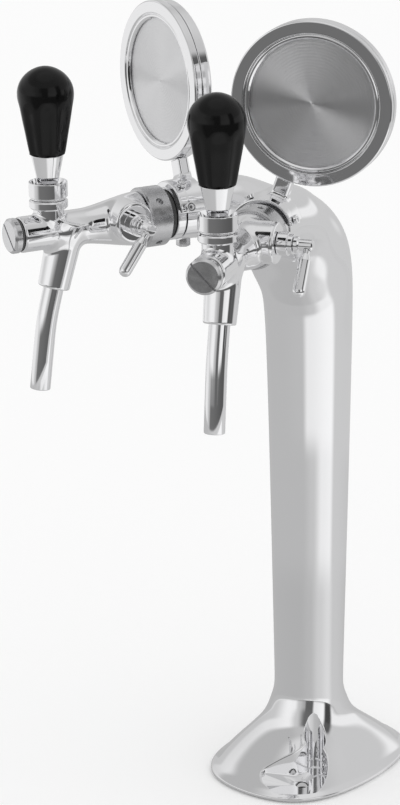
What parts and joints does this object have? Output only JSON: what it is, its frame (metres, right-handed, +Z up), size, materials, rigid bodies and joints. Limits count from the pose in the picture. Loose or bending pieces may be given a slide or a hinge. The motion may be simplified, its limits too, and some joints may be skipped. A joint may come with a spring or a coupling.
{
  "type": "beer tower dispenser",
  "caption": "Chromed swan-neck beer tower on a flared foot, forked into arms that each carry a compensator tap with a black knob and a round bare medallion.",
  "frame": {"origin": "on the bar top, on the column's axis", "axes": "+Z up the column, -Y to the front where the taps reach, +X to the right seen from the front"},
  "size_m": [0.2136, 0.2736, 0.5255],
  "materials": {
    "polished_chrome": "polished chrome plate",
    "turned_steel": "fine concentric turning",
    "stainless_steel": "satin stainless steel",
    "brass": "bare machined brass",
    "black_plastic": "moulded gloss black",
    "black_rubber": "matt black rubber",
    "food_hose": "translucent white hose"
  },
  "bodies": {
    "tower": {"arm_lock_screw_left": "stainless_steel", "arm_lock_screw_right": "stainless_steel", "base_gasket": "black_rubber", "beer_line_left": "food_hose", "beer_line_right": "food_hose", "bonnet_nut_left": "polished_chrome", "bonnet_nut_right": "polished_chrome", "bracket_screw_left_side": "polished_chrome", "bracket_screw_left_top": "polished_chrome", "bracket_screw_right_side": "polished_chrome", "bracket_screw_right_top": "polished_chrome", "cap_seal_left": "black_rubber", "cap_seal_right": "black_rubber", "front_cap_left": "polished_chrome", "front_cap_right": "polished_chrome", "gland_nut_left": "polished_chrome", "gland_nut_right": "polished_chrome", "locking_ring_left": "polished_chrome", "locking_ring_right": "polished_chrome", "medallion_bezel_left": "polished_chrome", "medallion_bezel_right": "polished_chrome", "medallion_bracket_left": "polished_chrome", "medallion_bracket_right": "polished_chrome", "medallion_case_left": "polished_chrome", "medallion_case_right": "polished_chrome", "medallion_plate_left": "turned_steel", "medallion_plate_right": "turned_steel", "ring_nut_left": "polished_chrome", "ring_nut_right": "polished_chrome", "shank_left": "brass", "shank_nut_left": "brass", "shank_nut_right": "brass", "shank_right": "brass", "shank_seal_left": "black_rubber", "shank_seal_right": "black_rubber", "spout_left": "polished_chrome", "spout_right": "polished_chrome", "tap_body_left": "polished_chrome", "tap_body_right": "polished_chrome", "tower_casting": "polished_chrome"},
    "lever_left": {"lever_stem_left": "stainless_steel", "ferrule_left": "polished_chrome", "knob_left": "black_plastic"},
    "valve_left": {"valve_plunger_left": "stainless_steel", "valve_seal_left": "black_rubber"},
    "compensator_lever_left": {"compensator_spindle_left": "stainless_steel", "compensator_hub_left": "polished_chrome", "compensator_rod_left": "polished_chrome"},
    "flow_cone_left": {"compensator_cone_left": "stainless_steel"},
    "lever_right": {"lever_stem_right": "stainless_steel", "ferrule_right": "polished_chrome", "knob_right": "black_plastic"},
    "valve_right": {"valve_plunger_right": "stainless_steel", "valve_seal_right": "black_rubber"},
    "compensator_lever_right": {"compensator_spindle_right": "stainless_steel", "compensator_hub_right": "polished_chrome", "compensator_rod_right": "polished_chrome"},
    "flow_cone_right": {"compensator_cone_right": "stainless_steel"}
  },
  "joints": [
    {"name": "tap_lever_pull_left", "type": "hinge", "parent": "tower", "child": "lever_left", "pos_m": [-0.06644, -0.17309, 0.4195], "axis": [0.9336, -0.3584, 0], "range_deg": [0, 18]},
    {"name": "valve_travel_left", "type": "slide", "parent": "tower", "child": "valve_left", "axis": [0.3584, 0.9336, 0], "range_m": [0, 0.0065]},
    {"name": "compensator_turn_left", "type": "hinge", "parent": "tower", "child": "compensator_lever_left", "pos_m": [-0.04931, -0.12846, 0.4005], "axis": [0.9336, -0.3584, 0], "range_deg": [-40, 40]},
    {"name": "flow_cone_travel_left", "type": "slide", "parent": "tower", "child": "flow_cone_left", "axis": [0.3584, 0.9336, 0], "range_m": [-0.0012, 0.0012]},
    {"name": "tap_lever_pull_right", "type": "hinge", "parent": "tower", "child": "lever_right", "pos_m": [0.06644, -0.17309, 0.4195], "axis": [0.9336, 0.3584, 0], "range_deg": [0, 18]},
    {"name": "valve_travel_right", "type": "slide", "parent": "tower", "child": "valve_right", "axis": [-0.3584, 0.9336, 0], "range_m": [0, 0.0065]},
    {"name": "compensator_turn_right", "type": "hinge", "parent": "tower", "child": "compensator_lever_right", "pos_m": [0.04931, -0.12846, 0.4005], "axis": [0.9336, 0.3584, 0], "range_deg": [-40, 40]},
    {"name": "flow_cone_travel_right", "type": "slide", "parent": "tower", "child": "flow_cone_right", "axis": [-0.3584, 0.9336, 0], "range_m": [-0.0012, 0.0012]}
  ],
  "couplings": [
    {"joint": "valve_travel_left", "follows": "tap_lever_pull_left", "m_per_rad": 0.02},
    {"joint": "flow_cone_travel_left", "follows": "compensator_turn_left", "m_per_rad": 0.0017},
    {"joint": "valve_travel_right", "follows": "tap_lever_pull_right", "m_per_rad": 0.02},
    {"joint": "flow_cone_travel_right", "follows": "compensator_turn_right", "m_per_rad": 0.0017}
  ]
}
